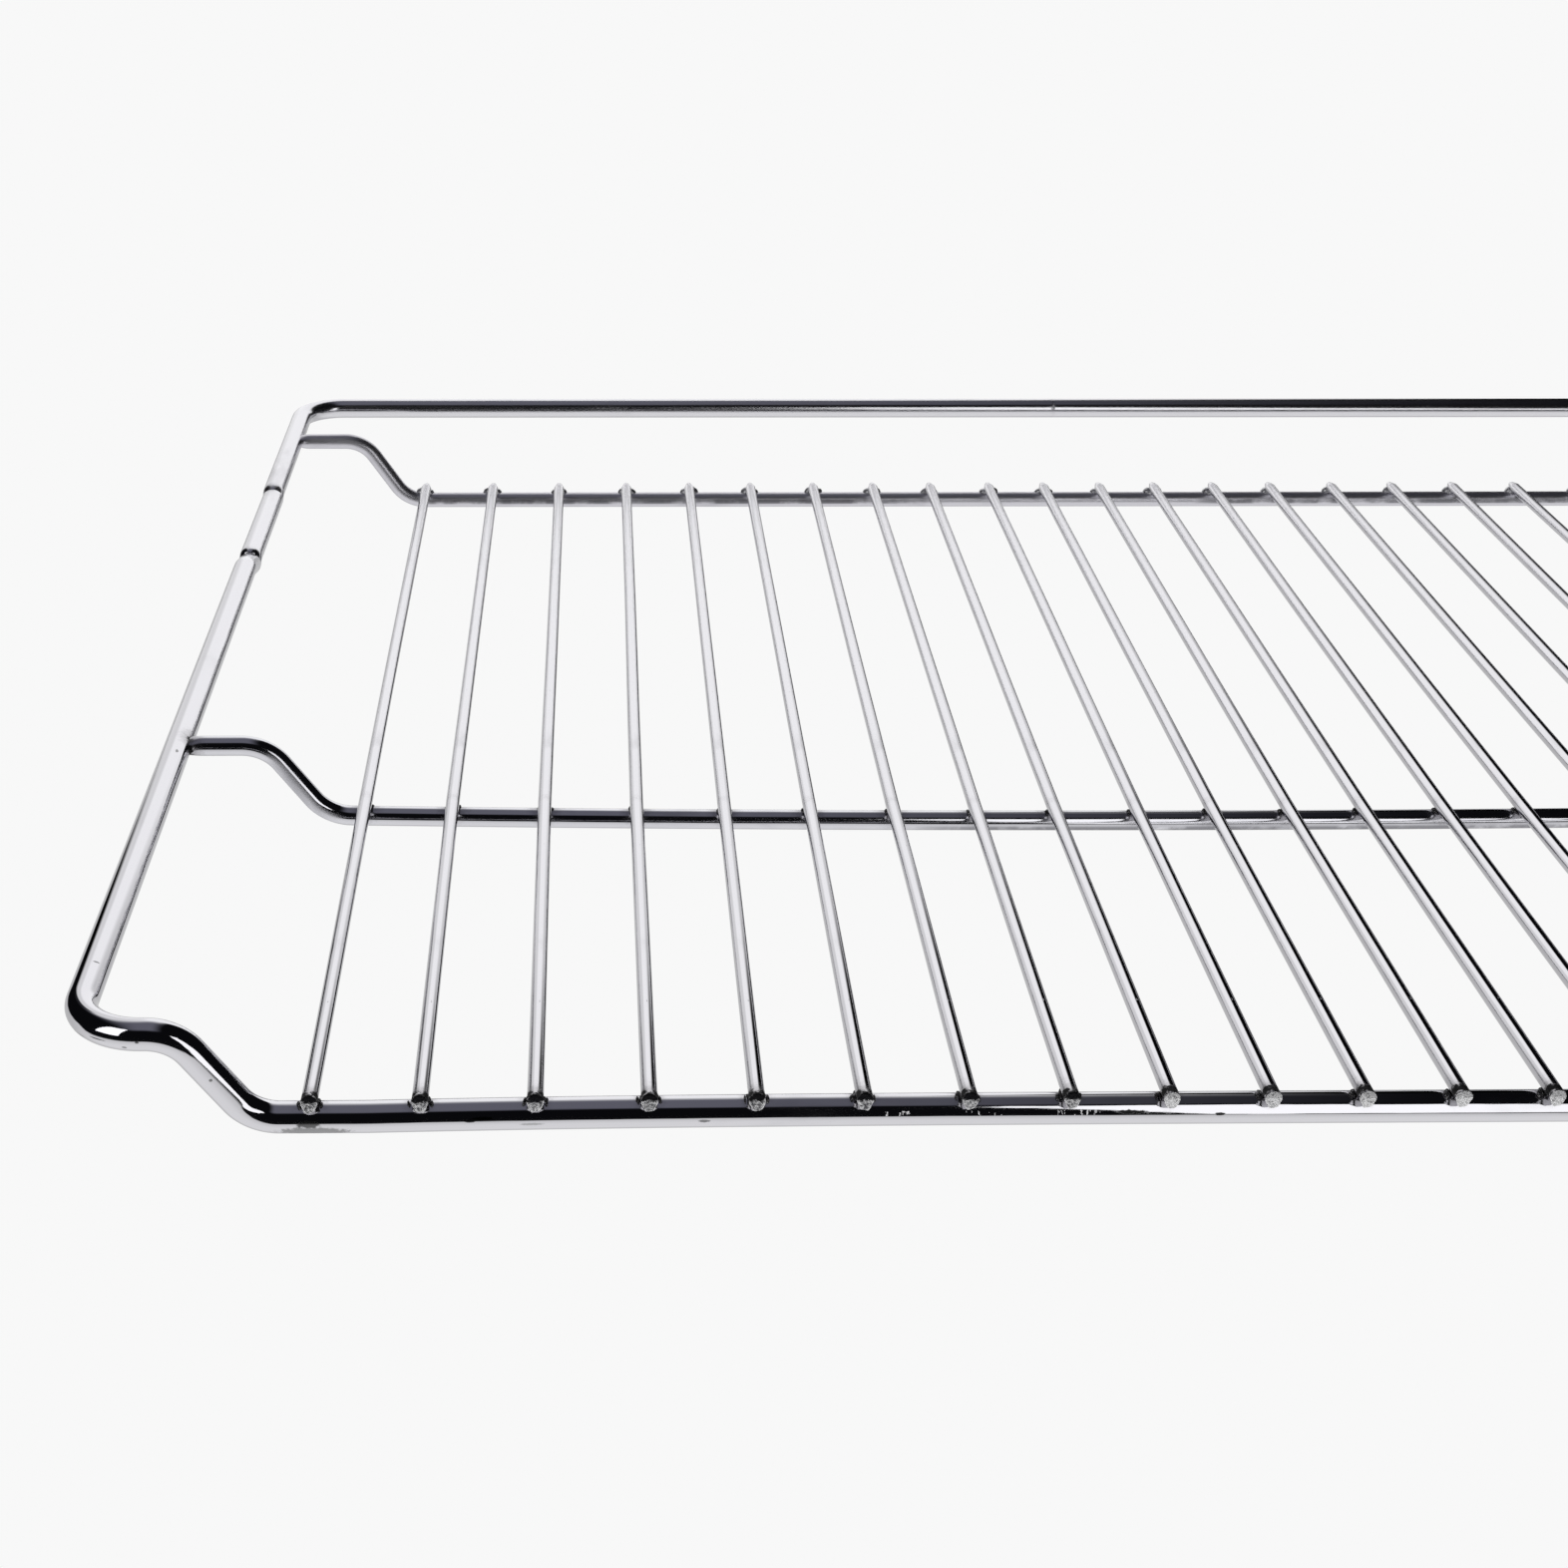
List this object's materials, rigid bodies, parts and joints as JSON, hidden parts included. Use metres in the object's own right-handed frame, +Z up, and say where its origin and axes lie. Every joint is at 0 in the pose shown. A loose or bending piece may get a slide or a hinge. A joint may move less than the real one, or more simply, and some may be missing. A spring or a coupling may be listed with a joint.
{
  "type": "oven shelf rack",
  "caption": "Flat chrome-plated wire shelf for a domestic oven: a bent outer frame with raised sides, two cross rails and a row of thin wires that carry dishes.",
  "frame": {"origin": "under the middle of the shelf, on the surface that it lies on", "axes": "+X across the shelf to the right, +Y towards the rear bar, +Z up; the lowered front rail faces -Y"},
  "size_m": [0.466, 0.385, 0.0243],
  "materials": {
    "chrome_frame": "bright chrome plate on bent steel wire",
    "chrome_wire": "bright chrome plate on thin steel wire"
  },
  "bodies": {
    "root": {"outer_frame": "chrome_frame", "middle_rail": "chrome_frame", "back_rail": "chrome_frame", "grid_wire_01": "chrome_wire", "grid_wire_02": "chrome_wire", "grid_wire_03": "chrome_wire", "grid_wire_04": "chrome_wire", "grid_wire_05": "chrome_wire", "grid_wire_06": "chrome_wire", "grid_wire_07": "chrome_wire", "grid_wire_08": "chrome_wire", "grid_wire_09": "chrome_wire", "grid_wire_10": "chrome_wire", "grid_wire_11": "chrome_wire", "grid_wire_12": "chrome_wire", "grid_wire_13": "chrome_wire", "grid_wire_14": "chrome_wire", "grid_wire_15": "chrome_wire", "grid_wire_16": "chrome_wire", "grid_wire_17": "chrome_wire", "grid_wire_18": "chrome_wire", "grid_wire_19": "chrome_wire", "grid_wire_20": "chrome_wire", "grid_wire_21": "chrome_wire", "grid_wire_22": "chrome_wire"}
  },
  "joints": []
}
